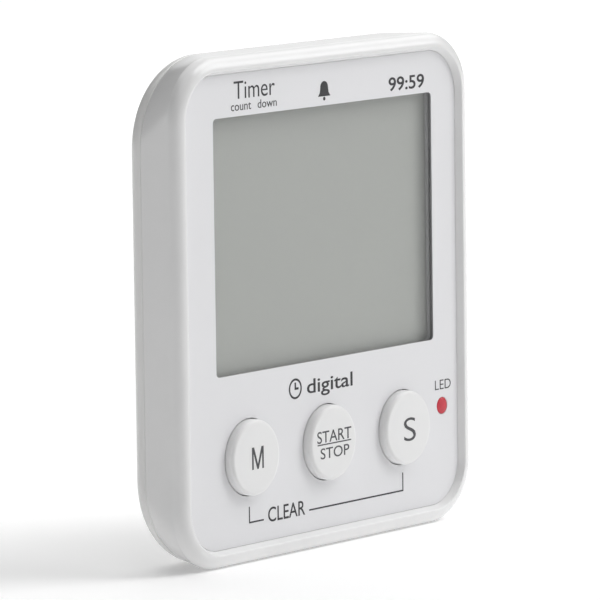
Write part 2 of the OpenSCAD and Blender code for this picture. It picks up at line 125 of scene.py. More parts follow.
# Buttons and lamp
KEY_FLANGE = 1.2
KEY_R = (box_mm("start_stop_button")[1].x - box_mm("start_stop_button")[0].x) / 2 - KEY_FLANGE
KEY_Z = middle("start_stop_button").z
KEY_X = {name: middle(node).x for name, node in KEY_NODES.items()}
HOLE_GAP = 0.2
SLIP_GAP = 0.1
LAMP_COLLAR = 0.4
LAMP_R = (LAMP_HIGH.x - LAMP_LOW.x) / 2 - LAMP_COLLAR
LAMP_X, LAMP_Z = middle("led_lamp").x, middle("led_lamp").z
INK_T = 0.03

# Screws, battery door, leg, magnets and sound holes
CASE_SCREW_X, CASE_SCREW_Z = 34.0, (8.6, BODY_H - 8.4)
BOARD_SCREW_X, BOARD_SCREW_Z = 43.9, (34.0, 90.0)
BOARD_Y = box_mm("circuit_board")[0].y
DOOR_Z = middle("battery_door").z
DOOR_T = 1.5
DOOR_R = 13.3
LUG_R, LUG_T, LUG_ANGLE = 14.5, 0.7, 22
GROOVE_R = 14.8
RELEASE_ANGLE = 50
CELL_LOW = box_mm("coin_cell")[0]
CUP_R = 10.3
PIN = middle("stand_pin")
LEG_W = LEG_HIGH.x - LEG_LOW.x
LEG_TIP = LEG_LOW.z
HINGE_Z = PIN.z
RECESS_D = 2.4
RECESS_GAP = 0.4
SCOOP_DROP = 1.0
PIN_L = box_mm("stand_pin")[1].x - box_mm("stand_pin")[0].x
MAGNET_X = 33.5
MAGNET_R = 6.0
SOUND_X, SOUND_Z = middle("buzzer_disc").x, middle("buzzer_disc").z


# --- Mesh helpers ---------------------------------------------------------------------------------


def outline(width, height, radius, x=0.0, z=0.0, steps=CORNER_STEPS):
    """Points (x, z) round a rectangle with rounded corners."""
    points = []
    for side_x, side_z, start in ((1, 1, 0), (-1, 1, 90), (-1, -1, 180), (1, -1, 270)):
        for i in range(steps + 1):
            a = math.radians(start + 90 * i / steps)
            points.append((x + side_x * (width / 2 - radius) + radius * math.cos(a),
                           z + side_z * (height / 2 - radius) + radius * math.sin(a)))
    return points


def case_ring(y, inset, corner_r):
    """The case's outline at a depth, drawn in by inset, as 3-D points."""
    ring = outline(BODY_W - 2 * inset, BODY_H - 2 * inset, corner_r - inset, 0, CENTRE_Z)
    return [(px, y, pz) for px, pz in ring]


def both_sides(x, heights):
    """The places (x, z) at x and at -x, at each height."""
    return [(side, z) for side in (-x, x) for z in heights]


def circle(x, z, radius, y, steps=TURN_STEPS):
    """Points of a circle that faces along Y."""
    turn = 2 * math.pi / steps
    return [(x + radius * math.cos(i * turn), y, z + radius * math.sin(i * turn)) for i in range(steps)]


def placed(name, data):
    """A new object in the scene, with that mesh, curve, camera or light."""
    obj = bpy.data.objects.new(name, data)
    bpy.context.scene.collection.objects.link(obj)
    return obj


def new_mesh(name, bm):
    """A mesh object in metres from a bmesh in millimetres, with outward normals."""
    bmesh.ops.recalc_face_normals(bm, faces=bm.faces)
    mesh = bpy.data.meshes.new(name)
    bm.to_mesh(mesh)
    bm.free()
    mesh.transform(Matrix.Scale(MM, 4))
    return placed(name, mesh)


def loft_into(bm, rings, closed=False):
    """Faces between rings of equal point counts. The two ends are capped, or joined where closed is true."""
    verts = [[bm.verts.new(p) for p in ring] for ring in rings]
    count = len(verts[0])
    pairs = list(zip(verts, verts[1:])) + ([(verts[-1], verts[0])] if closed else [])
    for a, b in pairs:
        for i in range(count):
            j = (i + 1) % count
            bm.faces.new((a[i], a[j], b[j], b[i]))
    if not closed:
        bm.faces.new(list(reversed(verts[0])))
        bm.faces.new(verts[-1])


def loft(name, rings):
    bm = bmesh.new()
    loft_into(bm, rings)
    return new_mesh(name, bm)


def block(x, z, w, h, r, levels, steps=8):
    """A rounded block along Y. Each level is (depth, widening)."""
    rings = [[(px, y, pz) for px, pz in
              outline(w + 2 * e, h + 2 * e, max(r + e, SMALLEST_R), x, z, steps)] for y, e in levels]
    return loft("block", rings)


def slab(x, z, w, h, r, y0, y1, edge=0.0, steps=8):
    """A rounded slab between two depths, with a small bevel at each end."""
    levels = [(y0, -edge), (y0 + edge, 0), (y1 - edge, 0), (y1, -edge)] if edge else [(y0, 0), (y1, 0)]
    return block(x, z, w, h, r, levels, steps)


def turned(x, z, points, steps=TURN_STEPS):
    """A closed turned shape about a line along Y. Each point is (radius, depth), from end to end."""
    return loft("turned", [circle(x, z, max(r, 0.004), y, steps) for r, y in points])


def rod(x, z, r, y0, y1, edge=0.0, steps=TURN_STEPS):
    points = [(r - edge, y0), (r, y0 + edge), (r, y1 - edge), (r - edge, y1)] if edge else [(r, y0), (r, y1)]
    return turned(x, z, points, steps)


def arc(r0, y0, r1, y1, steps=ROUND_STEPS):
    """Points of a quarter ellipse that leaves (r0, y0) along the radius and ends at (r1, y1)."""
    angles = [math.pi / 2 * i / steps for i in range(steps + 1)]
    return [(r0 + (r1 - r0) * math.sin(a), y0 + (y1 - y0) * (1 - math.cos(a))) for a in angles]


def join(name, parts):
    """One object from several, which are used up."""
    bm = bmesh.new()
    for part in parts:
        bm.from_mesh(part.data)
    mesh = bpy.data.meshes.new(name)
    bm.to_mesh(mesh)
    bm.free()
    for part in parts:
        bpy.data.objects.remove(part)
    return placed(name, mesh)


def bake(obj):
    """Applies the object's modifiers to its mesh."""
    depsgraph = bpy.context.evaluated_depsgraph_get()
    depsgraph.update()
    mesh = bpy.data.meshes.new_from_object(obj.evaluated_get(depsgraph))
    obj.modifiers.clear()
    old = obj.data
    obj.data = mesh
    bpy.data.meshes.remove(old)


def combine(obj, parts, operation):
    """Unites obj with each part, or cuts each part out of it. The parts are used up."""
    for part in parts:
        modifier = obj.modifiers.new("combine", "BOOLEAN")
        modifier.operation = operation
        modifier.solver = "MANIFOLD"
        modifier.object = part
        bake(obj)
        bpy.data.objects.remove(part)
    return obj


def add(obj, *parts):
    return combine(obj, parts, "UNION")


def cut(obj, *parts):
    return combine(obj, parts, "DIFFERENCE")


def finish_mesh(obj, name, material):
    """Names the piece, merges stray points, shades it smooth but for its sharp edges, and dresses it."""
    obj.name = name
    obj.data.name = name
    bm = bmesh.new()
    bm.from_mesh(obj.data)
    bmesh.ops.remove_doubles(bm, verts=bm.verts, dist=1e-7)
    bmesh.ops.dissolve_degenerate(bm, edges=bm.edges, dist=1e-7)
    bm.to_mesh(obj.data)
    bm.free()
    obj.data.shade_smooth()
    obj.data.set_sharp_from_angle(angle=SHARP_ANGLE)
    dress(obj, material)
    return obj


def dress(obj, material):
    """Gives every face the one material, in place of the empty slots that the cuts leave."""
    obj.data.materials.clear()
    obj.data.materials.append(material)
    for face in obj.data.polygons:
        face.material_index = 0


def paint(obj, material, wanted):
    """Gives a further material to the faces whose centre and normal, in millimetres, are wanted."""
    obj.data.materials.append(material)
    index = len(obj.data.materials) - 1
    for face in obj.data.polygons:
        if wanted(face.center / MM, face.normal):
            face.material_index = index


# --- Materials ------------------------------------------------------------------------------------


def srgb(*levels):
    """A linear colour from sRGB levels of 0 to 255."""
    parts = [v / 255 for v in levels]
    return tuple(v / 12.92 if v <= 0.04045 else ((v + 0.055) / 1.055) ** 2.4 for v in parts) + (1.0,)


def scaled(colour, factor):
    return tuple(min(c * factor, 1.0) for c in colour[:3]) + (1.0,)


class Nodes:
    """A new material with one Principled shader, and short ways to add the nodes that feed it."""

    def __init__(self, name):
        self.material = bpy.data.materials.new(name)
        self.material.use_nodes = True
        self.tree = self.material.node_tree
        self.tree.nodes.clear()
        self.shader = self.tree.nodes.new("ShaderNodeBsdfPrincipled")
        output = self.tree.nodes.new("ShaderNodeOutputMaterial")
        self.link(self.shader.outputs[0], output.inputs["Surface"])
        coordinates = self.tree.nodes.new("ShaderNodeTexCoord")
        self.place = coordinates.outputs["Object"]

    def link(self, source, target):
        self.tree.links.new(source, target)

    def set(self, **values):
        for key, value in values.items():
            self.shader.inputs[key.replace("_", " ")].default_value = value

    def colour(self, source):
        self.link(source, self.shader.inputs["Base Color"])

    def roughness(self, source):
        self.link(source, self.shader.inputs["Roughness"])

    def moulded(self, colour, roughness, mottle):
        """Sets a faintly cloudy colour, and returns a moulding's slightly uneven gloss."""
        self.colour(self.ramp(self.noise(0.08, 3), scaled(colour, 1 - mottle), colour))
        return self.ramp(self.noise(0.15, 2), roughness * 0.96, roughness * 1.04, 0.2, 0.8)

    def noise(self, per_mm, detail=2.0, roughness=0.5, stretch=(1, 1, 1)):
        """A noise pattern with about that many features to a millimetre."""
        mapping = self.tree.nodes.new("ShaderNodeMapping")
        mapping.inputs["Scale"].default_value = [s / MM * per_mm for s in stretch]
        self.link(self.place, mapping.inputs["Vector"])
        texture = self.tree.nodes.new("ShaderNodeTexNoise")
        texture.inputs["Scale"].default_value = 1.0
        texture.inputs["Detail"].default_value = detail
        texture.inputs["Roughness"].default_value = roughness
        self.link(mapping.outputs[0], texture.inputs["Vector"])
        return texture.outputs["Fac"]

    def ramp(self, source, low, high, start=0.3, end=0.7):
        """The source's values from start to end, spread over low to high. They are numbers or colours."""
        if isinstance(low, tuple):
            mix = self.tree.nodes.new("ShaderNodeMix")
            mix.data_type = "RGBA"
            spread = self.ramp(source, 0.0, 1.0, start, end)
            self.link(spread, mix.inputs["Factor"])
            colours = [s for s in mix.inputs if s.type == "RGBA"]
            colours[0].default_value, colours[1].default_value = low, high
            return [s for s in mix.outputs if s.type == "RGBA"][0]
        spread = self.tree.nodes.new("ShaderNodeMapRange")
        values = {"From Min": start, "From Max": end, "To Min": low, "To Max": high}
        for key, value in values.items():
            spread.inputs[key].default_value = value
        self.link(source, spread.inputs["Value"])
        return spread.outputs["Result"]

    def math(self, operation, a, b):
        node = self.tree.nodes.new("ShaderNodeMath")
        node.operation = operation
        for socket, value in zip(node.inputs, (a, b)):
            if isinstance(value, (int, float)):
                socket.default_value = value
            else:
                self.link(value, socket)
        return node.outputs[0]

    def bump(self, height, depth_mm, strength=1.0):
        node = self.tree.nodes.new("ShaderNodeBump")
        node.inputs["Strength"].default_value = strength
        node.inputs["Distance"].default_value = depth_mm * MM
        self.link(height, node.inputs["Height"])
        self.link(node.outputs[0], self.shader.inputs["Normal"])

    def axis(self, index):
        """One of the object's own coordinates, in millimetres."""
        node = self.tree.nodes.new("ShaderNodeSeparateXYZ")
        self.link(self.place, node.inputs[0])
        return self.math("MULTIPLY", node.outputs[index], 1 / MM)


def plastic(name, colour, roughness, grain_mm=0.25, grain_depth=0.002, mottle=0.03, specular=0.5, coat=0.0):
    """Moulded plastic: faint cloudy colour, uneven gloss, and the fine skin that a mould leaves."""
    n = Nodes(name)
    n.roughness(n.moulded(colour, roughness, mottle))
    n.set(Specular_IOR_Level=specular, Coat_Weight=coat, Coat_Roughness=0.12)
    n.bump(n.noise(1 / grain_mm, 3, 0.6), grain_depth)
    return n.material


def textured_back(name, colour, roughness):
    """The rear shell: plain gloss round the edge, and an eroded mould texture on the flat back."""
    n = Nodes(name)
    flat = n.ramp(n.axis(1), 0.0, 1.0, BACK_Y - 1.0, BACK_Y - 0.05)
    gloss = n.moulded(colour, roughness, 0.02)
    n.roughness(n.math("ADD", gloss, n.math("MULTIPLY", flat, 0.15)))
    relief = n.math("MULTIPLY", n.noise(3.2, 4, 0.65), n.math("ADD", n.math("MULTIPLY", flat, 0.9), 0.1))
    n.bump(relief, 0.03)
    return n.material


def ink(name, colour):
    """Screen-printed ink with slightly uneven cover."""
    n = Nodes(name)
    n.colour(n.ramp(n.noise(2.5, 4, 0.7), scaled(colour, 0.8), scaled(colour, 1.2)))
    n.roughness(n.ramp(n.noise(4, 2), 0.42, 0.6))
    n.bump(n.noise(6, 3), 0.004)
    return n.material


def polariser(name, colour):
    """The display's grey film: a fine sparkle grain over an even tone."""
    n = Nodes(name)
    n.colour(n.ramp(n.noise(9, 2), scaled(colour, 0.99), scaled(colour, 1.01)))
    n.roughness(n.ramp(n.noise(0.1, 2), 0.46, 0.5))
    n.set(Specular_IOR_Level=0.3)
    n.bump(n.noise(14, 2), 0.0003, 0.2)
    return n.material


def clear(name, colour, alpha):
    """A clear moulded pane with a faint ripple, which shows what is behind it."""
    n = Nodes(name)
    n.colour(n.ramp(n.noise(0.1, 2), scaled(colour, 0.98), colour))
    n.roughness(n.ramp(n.noise(0.4, 2), 0.04, 0.09))
    n.set(Alpha=alpha)
    n.bump(n.noise(0.15, 2), 0.002)
    return n.material


def metal(name, colour, roughness, stretch=(1, 1, 12), per_mm=2.0, depth=0.003):
    """Metal with drawn or turned marks along one axis, and a little tarnish."""
    n = Nodes(name)
    marks = n.noise(per_mm, 3, 0.6, stretch)
    n.colour(n.ramp(n.noise(0.25, 4), scaled(colour, 0.85), colour))
    n.roughness(n.ramp(marks, roughness * 0.75, roughness * 1.3))
    n.set(Metallic=1.0)
    n.bump(marks, depth)
    return n.material


def rubber(name, colour):
    n = Nodes(name)
    n.colour(n.ramp(n.noise(0.5, 4), scaled(colour, 0.88), scaled(colour, 1.08)))
    n.roughness(n.ramp(n.noise(1.5, 3), 0.55, 0.75))
    n.bump(n.noise(5, 3), 0.006)
    return n.material


def lens(name, colour):
    """The lamp's tinted epoxy: deeper colour in the middle of the cloud, soft gloss."""
    n = Nodes(name)
    n.colour(n.ramp(n.noise(1.2, 3), scaled(colour, 0.86), scaled(colour, 1.08)))
    n.roughness(n.ramp(n.noise(2, 2), 0.3, 0.42))
    n.set(Subsurface_Weight=0.15, Subsurface_Radius=(0.002, 0.0006, 0.0006), Subsurface_Scale=0.4)
    n.bump(n.noise(3, 2), 0.003)
    return n.material


def laminate(name, mask, trace):
    """The circuit board: solder mask over copper traces that show as a lighter relief."""
    n = Nodes(name)
    lanes = n.tree.nodes.new("ShaderNodeTexBrick")
    mapping = n.tree.nodes.new("ShaderNodeMapping")
    mapping.inputs["Rotation"].default_value = (math.radians(90), 0, 0)
    n.link(n.place, mapping.inputs["Vector"])
    n.link(mapping.outputs[0], lanes.inputs["Vector"])
    sizes = {"Scale": 1 / MM, "Mortar Size": 0.16, "Mortar Smooth": 0.1, "Brick Width": 7.0,
             "Row Height": 1.3}
    for key, value in sizes.items():
        lanes.inputs[key].default_value = value
    lane = n.math("SUBTRACT", 1.0, lanes.outputs["Fac"])
    mottled = n.math("MULTIPLY", n.ramp(n.noise(0.12, 2), 0.0, 1.0, 0.42, 0.5), lane)
    n.colour(n.ramp(mottled, mask, trace, 0.0, 1.0))
    n.roughness(n.ramp(n.noise(1.5, 3), 0.3, 0.42))
    n.bump(mottled, 0.03)
    return n.material


SHELL = plastic("moulded_white", srgb(238, 238, 238), 0.24, coat=0.15)
BACK = textured_back("moulded_white_back", srgb(236, 236, 235), 0.26)
FACE = plastic("printed_film", srgb(232, 232, 234), 0.42, 0.12, 0.0012, 0.006, 0.35)
KEY = plastic("key_white", srgb(236, 236, 236), 0.34, 0.2, 0.002, 0.006, 0.4)
DARK_INK = ink("dark_ink", srgb(45, 44, 48))
KEY_INK = ink("key_ink", srgb(70, 70, 73))
PANE = clear("clear_acrylic", srgb(235, 238, 236), 0.08)
LCD = polariser("grey_polariser", srgb(168, 170, 166))
# Mid grey for the window recess walls and the film's window edge: painted shade for the unlit cavity behind
# the face.
PAINTED_SHADE = plastic("window_painted_shade", srgb(162, 161, 164), 0.5, 0.2, 0.002)
LAMP = lens("red_epoxy", srgb(202, 46, 63))
SILICONE = rubber("grey_silicone", srgb(176, 178, 180))


# --- Front shell, face and display ----------------------------------------------------------------


def corner_radius(y):
    """The front half's corner radius, which widens from the rim to the parting line."""
    start = CREST_Y + RIM_ROUND_D
    share = min(max((y - start) / (PART_Y - start), 0), 1)
    return FRONT_CORNER_R + (REAR_CORNER_R - FRONT_CORNER_R) * share


def rim_profile():
    """(depth, inset) points over the rim, from the straight outer wall to the edge of the face."""
    points = []
    for i in range(ROUND_STEPS + 7):
        a = math.pi / 2 * i / (ROUND_STEPS + 6)
        points.append((CREST_Y + RIM_ROUND_D * (1 - math.sin(a)), RIM_ROUND_W * (1 - math.cos(a))))
    slope = math.atan2(FACE_Y - CREST_Y, RIM_W - RIM_INNER_W)
    tangent = RIM_EDGE_R * math.tan(slope / 2)
    for i in range(9):
        a = slope * i / 8
        points.append((CREST_Y + RIM_EDGE_R * (1 - math.cos(a)),
                       RIM_INNER_W - tangent + RIM_EDGE_R * math.sin(a)))
    points.append((FACE_Y, RIM_W))
    return points


def front_shell():
    """The moulded front: rim, straight walls, the plate behind the printed film and its bosses."""
    wall_start, wall_end = CREST_Y + RIM_ROUND_D + 0.15, PART_Y - SEAM - 0.1
    rings = [case_ring(PLATE_Y, RIM_W, FRONT_CORNER_R)]
    rings += [case_ring(y, inset, FRONT_CORNER_R) for y, inset in reversed(rim_profile())]
    rings += [case_ring(y, 0, corner_radius(y)) for y in (wall_start, wall_end)]
    rings += [case_ring(y, inset, REAR_CORNER_R) for y, inset in
              ((PART_Y - SEAM, 0), (PART_Y, SEAM), (PART_Y, WALL), (INNER_Y, WALL))]
    shell = loft("front_shell", rings)
    boss_r, pilot_r, board_boss_r, board_pilot_r = 2.3, 1.0, 1.9, 0.9
    sunk, board_pilot_floor, lead_in = 0.1, 0.4, 0.5
    screws = both_sides(CASE_SCREW_X, CASE_SCREW_Z)
    board_screws = both_sides(BOARD_SCREW_X, BOARD_SCREW_Z)
    add(shell, *[rod(x, z, boss_r, INNER_Y - sunk, PART_Y - sunk, steps=40) for x, z in screws])
    add(shell, *[rod(x, z, board_boss_r, INNER_Y - sunk, BOARD_Y, steps=40) for x, z in board_screws])
    cut(shell, *[rod(x, z, pilot_r, INNER_Y + PAST, PART_Y + PAST, steps=32) for x, z in screws])
    cut(shell, *[rod(x, z, board_pilot_r, INNER_Y + board_pilot_floor, BOARD_Y + PAST, steps=32)
                 for x, z in board_screws])
    cut(shell, window_slab(PANE_MARGIN + SLIP_GAP, PLATE_Y - lead_in, PANE_HIGH.y),
        window_slab(PLATE_MARGIN, PLATE_Y - lead_in, INNER_Y + PAST))
    for x in KEY_X.values():
        cut(shell, rod(x, KEY_Z, KEY_R + HOLE_GAP, PLATE_Y - lead_in, INNER_Y + PAST))
    cut(shell, rod(LAMP_X, LAMP_Z, LAMP_R + SLIP_GAP, PLATE_Y - lead_in, INNER_Y + PAST, steps=48))
    finish_mesh(shell, "front_shell", SHELL)
    # The recess walls behind the film, round the window, get the mid grey of painted shade.
    shade_margin = PANE_MARGIN + 0.4
    paint(shell, PAINTED_SHADE, lambda c, n: in_window(c, shade_margin) and PLATE_Y + EPS < c.y < INNER_Y + EPS)
    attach(shell, "case")
    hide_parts("front_housing")


def window_slab(margin, y0, y1, edge=0.0):
    """A slab of the window's outline, widened by a margin."""
    w, h = WINDOW_W + 2 * margin, WINDOW_H + 2 * margin
    return slab(WINDOW_X, WINDOW_Z, w, h, WINDOW_R + margin, y0, y1, edge)


def in_window(point, margin):
    """True for a point within the window, or within that margin round it."""
    across, up = abs(point.x - WINDOW_X), abs(point.z - WINDOW_Z)
    return across < WINDOW_W / 2 + margin and up < WINDOW_H / 2 + margin


def film_hole(bevel):
    """(depth, widening) of a cutter through the film, whose front edge is bevelled."""
    run = 0.4
    return [(FACE_Y - run, run + bevel), (FACE_Y + bevel, 0), (PLATE_Y + BEVEL_RUN, 0)]


def round_film_hole(x, z, r, bevel):
    return turned(x, z, [(r + e, y) for y, e in film_hole(bevel)])


def face_film():
    """The printed film in the rim's well, with its window, button and lamp holes."""
    edge, rim_gap, border = 0.06, 0.05, 0.3
    window_edge, key_edge, lamp_edge = 0.05, 0.05, 0.03
    inset = RIM_W + rim_gap
    levels = ((FACE_Y, inset + edge + border), (FACE_Y, inset + edge), (FACE_Y + edge, inset),
              (PLATE_Y, inset))
    film = loft("face_film", [case_ring(y, i, FRONT_CORNER_R) for y, i in levels])
    cut(film, block(WINDOW_X, WINDOW_Z, WINDOW_W, WINDOW_H, WINDOW_R, film_hole(window_edge), CORNER_STEPS))
    for x in KEY_X.values():
        cut(film, round_film_hole(x, KEY_Z, KEY_R + HOLE_GAP, key_edge))
    cut(film, round_film_hole(LAMP_X, LAMP_Z, LAMP_R + SLIP_GAP, lamp_edge))
    finish_mesh(film, "face_film", FACE)
    # The film's edge round the window gets the same painted shade.
    paint(film, PAINTED_SHADE, lambda c, n: in_window(c, PLATE_MARGIN) and abs(n.y) < 0.5)
    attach(film, "case")
    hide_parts("face_panel")


def window_pane():
    ground_edge = 0.1
    pane = window_slab(PANE_MARGIN, PANE_LOW.y, PANE_HIGH.y, ground_edge)
    finish_mesh(pane, "window_pane", PANE)
    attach(pane, "case")
    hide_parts("display_window")


def lcd_glass():
    """Two bonded panes with ground edges. The rear pane stops short, for the contact ledge."""
    ledge_h, glass_t = 2.4, (LCD_HIGH.y - LCD_LOW.y) / 2
    corner_r, ground_edge, corner_steps, narrower, overlap = 0.3, 0.08, 3, 0.06, 0.03
    w, h = LCD_HIGH.x - LCD_LOW.x, LCD_HIGH.z - LCD_LOW.z
    x, z = (LCD_LOW.x + LCD_HIGH.x) / 2, (LCD_LOW.z + LCD_HIGH.z) / 2
    front = slab(x, z, w, h, corner_r, LCD_LOW.y, LCD_LOW.y + glass_t, ground_edge, corner_steps)
    rear = slab(x, z + ledge_h / 2, w - narrower, h - ledge_h, corner_r, LCD_LOW.y + glass_t - overlap,
                LCD_HIGH.y, ground_edge, corner_steps)
    glass = add(front, rear)
    finish_mesh(glass, "lcd_glass", LCD)
    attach(glass, "case")
    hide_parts("lcd_cell")


def lamp_lens():
    """The lamp's dome on a straight stem, with a collar behind the plate."""
    tip_y, collar_y, dome_end = LAMP_LOW.y, INNER_Y + 0.3, FACE_Y + 0.1
    dome_steps = 16
    angles = [math.pi / 2 * i / dome_steps for i in range(1, dome_steps + 1)]
    points = [(0, tip_y)]
    points += [(LAMP_R * math.sin(a), tip_y + (dome_end - tip_y) * (1 - math.cos(a))) for a in angles]
    points += [(LAMP_R, collar_y), (LAMP_R + LAMP_COLLAR, collar_y),
               (LAMP_R + LAMP_COLLAR, LAMP_HIGH.y), (0, LAMP_HIGH.y)]
    lamp = turned(LAMP_X, LAMP_Z, points, 48)
    finish_mesh(lamp, "lamp_lens", LAMP)
    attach(lamp, "case")
    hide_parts("led_lamp")


# --- Buttons --------------------------------------------------------------------------------------


def key_cap(name):
    """A hollow cap with a softly rounded edge, its flange behind the face and the stem in its middle."""
    top_y, stem_y = KEY_TOP_Y + INK_T, box_mm(KEY_NODES[name])[1].y
    edge_r, edge_steps, rim_flat, rim_straight = 0.85, 12, 0.3, 0.1
    flange_y, flange_t = INNER_Y + SLIP_GAP, 0.8
    cavity_r, cavity_y, stem_r = KEY_R - 1.4, KEY_TOP_Y + 1.5, 2.4
    points = [(0, top_y), (KEY_R - edge_r - rim_flat, top_y)]
    points += arc(KEY_R - edge_r, top_y, KEY_R, top_y + edge_r, edge_steps)
    points += [(KEY_R, top_y + edge_r + rim_straight), (KEY_R, flange_y), (KEY_R + KEY_FLANGE, flange_y),
               (KEY_R + KEY_FLANGE, flange_y + flange_t), (cavity_r, flange_y + flange_t),
               (cavity_r, cavity_y), (stem_r, cavity_y), (stem_r, stem_y), (0, stem_y)]
    cap = turned(KEY_X[name], KEY_Z, points)
    finish_mesh(cap, f"{name}_cap", KEY)
    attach(cap, f"{name}_key")
    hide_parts(KEY_NODES[name])


def keypad():
    """The silicone mat behind the buttons: a flat sheet, and a dome for each, built at rest and held with the
    case, though the real domes give when pressed.
    """
    low, high = box_mm("keypad_mat")
    sheet_t, sheet_r, sheet_edge = 0.7, 3, 0.1
    base_r, top_r, side, roof_t, shoulder, shoulder_steps = 5.2, 3.2, 0.8, 0.6, 0.3, 6
    web_y = high.y - sheet_t
    centre_x, w, h = (low.x + high.x) / 2, high.x - low.x, high.z - low.z
    sheet = slab(centre_x, KEY_Z, w, h, sheet_r, web_y, high.y, sheet_edge)
    for x in KEY_X.values():
        cut(sheet, rod(x, KEY_Z, base_r - side, web_y - PAST, high.y + PAST))
    finish_mesh(sheet, "keypad_sheet", SILICONE)
    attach(sheet, "case")
    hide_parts("keypad_mat")
    points = [(0, low.y)] + arc(top_r - shoulder, low.y, top_r, low.y + shoulder, shoulder_steps)
    points += [(base_r, web_y), (base_r - side, web_y), (top_r - side / 2, low.y + roof_t),
               (0, low.y + roof_t)]
    for name, x in KEY_X.items():
        dome = turned(x, KEY_Z, points, 64)
        finish_mesh(dome, f"{name}_dome", SILICONE)
        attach(dome, "case")
        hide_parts("keypad_mat")
        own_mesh(dome)


# --- Printed legends ------------------------------------------------------------------------------


def text_mesh(body, left, right, base, height, y, weight=0.0):
    """Raised ink letters that fill left to right above a base line, with the given height of a capital."""
    curve = bpy.data.curves.new("legend", "FONT")
    curve.body = body
    curve.extrude = 0.5
    curve.offset = weight
    curve.resolution_u = 5
    probe = placed("legend", curve)
    depsgraph = bpy.context.evaluated_depsgraph_get()
    depsgraph.update()
    mesh = bpy.data.meshes.new_from_object(probe.evaluated_get(depsgraph))
    bpy.data.objects.remove(probe)
    xs = [v.co.x for v in mesh.vertices]
    ys = [v.co.y for v in mesh.vertices]
    low_x, high_x = min(xs), max(xs)
    capital = max(ys)
    for v in mesh.vertices:
        across = (v.co.x - low_x) / (high_x - low_x)
        up = v.co.y / capital
        deep = v.co.z + 0.5
        v.co = ((left + (right - left) * across) * MM, (y - INK_T * deep) * MM, (base + height * up) * MM)
    return placed("legend", mesh)


def bar(x0, x1, z0, z1, y):
    return slab((x0 + x1) / 2, (z0 + z1) / 2, x1 - x0, z1 - z0, 0.02, y - INK_T, y, steps=1)


def ring_mark(x, z, r, width, y):
    bm = bmesh.new()
    loft_into(bm, [circle(x, z, r, y, 48), circle(x, z, r, y - INK_T, 48),
                   circle(x, z, r - width, y - INK_T, 48), circle(x, z, r - width, y, 48)], closed=True)
    return new_mesh("ring", bm)


def plate_mark(points, y):
    """A flat ink shape with a given outline."""
    return loft("mark", [[(px, level, pz) for px, pz in points] for level in (y, y - INK_T)])


def letter_m(left, right, base, height, y):
    """A plain capital M of even strokes, its middle reaching down to the base line."""
    stroke, diagonal, shoulder, dip, foot = 0.13, 0.18, 0.74, 0.22, 0.06
    shape = [(0, 0), (0, 1), (diagonal, 1), (0.5, dip), (1 - diagonal, 1), (1, 1), (1, 0),
             (1 - stroke, 0), (1 - stroke, shoulder), (0.5 + foot, 0), (0.5 - foot, 0),
             (stroke, shoulder), (stroke, 0)]
    return plate_mark([(left + (right - left) * u, base + height * v) for u, v in shape], y)


def bell_mark(x, z, size, y):
    """A plain bell: a domed body, a brim and a clapper."""
    body = []
    for i in range(13):
        a = math.pi * i / 12
        body.append((x + 0.3 * size * math.cos(a), z + 0.15 * size + 0.3 * size * math.sin(a)))
    body += [(x - 0.34 * size, z - 0.1 * size), (x - 0.48 * size, z - 0.28 * size),
             (x + 0.48 * size, z - 0.28 * size), (x + 0.34 * size, z - 0.1 * size)]
    clapper = circle(x, z - 0.4 * size, 0.09 * size, y, 20)
    return [plate_mark(body, y), plate_mark([(p[0], p[2]) for p in clapper], y)]


def clock_mark(x, z, size, y):
    """A plain clock face with two hands."""
    hand = 0.11 * size
    return [ring_mark(x, z, size / 2, 0.1 * size, y),
            bar(x - hand / 2, x + hand / 2, z - hand / 2, z + 0.3 * size, y),
            bar(x + hand / 2, x + 0.25 * size, z - hand / 2, z + hand / 2, y)]


def face_legends():
    """Function words and plain pictograms on the film, placed from the window, the buttons and the lamp."""
    left = WINDOW_X - WINDOW_W / 2
    top = WINDOW_Z + WINDOW_H / 2
    bottom = WINDOW_Z - WINDOW_H / 2
    y = FACE_Y
    marks = [
        text_mesh("Timer", left + 7.0, left + 20.7, top + 3.6, 3.7, y, -0.004),
        text_mesh("count", left + 6.0, left + 12.7, top + 1.2, 1.45, y),
        text_mesh("down", left + 14.9, left + 21.3, top + 1.2, 1.75, y),
        text_mesh("99:59", left + 60.0, left + 72.6, top + 1.3, 2.9, y, 0.012),
        text_mesh("digital", WINDOW_X - 7.2, WINDOW_X + 8.6, bottom - 6.7, 3.0, y, 0.008),
        text_mesh("LED", LAMP_X - 2.5, LAMP_X + 3.2, LAMP_Z + 3.6, 2.1, y, -0.006),
        text_mesh("CLEAR", KEY_X["minutes"] + 6.0, KEY_X["minutes"] + 18.6, KEY_Z - 14.6, 3.1, y, 0.004),
    ]
    marks += bell_mark(WINDOW_X, top + 3.2, 4.4, y)
    marks += clock_mark(WINDOW_X - 11.2, bottom - 5.2, 4.4, y)
    line, tie_z = 0.33, KEY_Z - 13.7
    stem_l, stem_r = KEY_X["minutes"] - 0.3, KEY_X["seconds"] + 0.3
    marks += [bar(stem_l - line / 2, stem_l + line / 2, tie_z, tie_z + 3.2, y),
              bar(stem_l - line / 2, stem_l + 4.8, tie_z - line, tie_z, y),
              bar(KEY_X["minutes"] + 20.0, stem_r, tie_z - line, tie_z, y),
              bar(stem_r - line, stem_r, tie_z, tie_z + 3.75, y)]
    legends = finish_mesh(join("face_legends", marks), "face_legends", DARK_INK)
    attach(legends, "case")


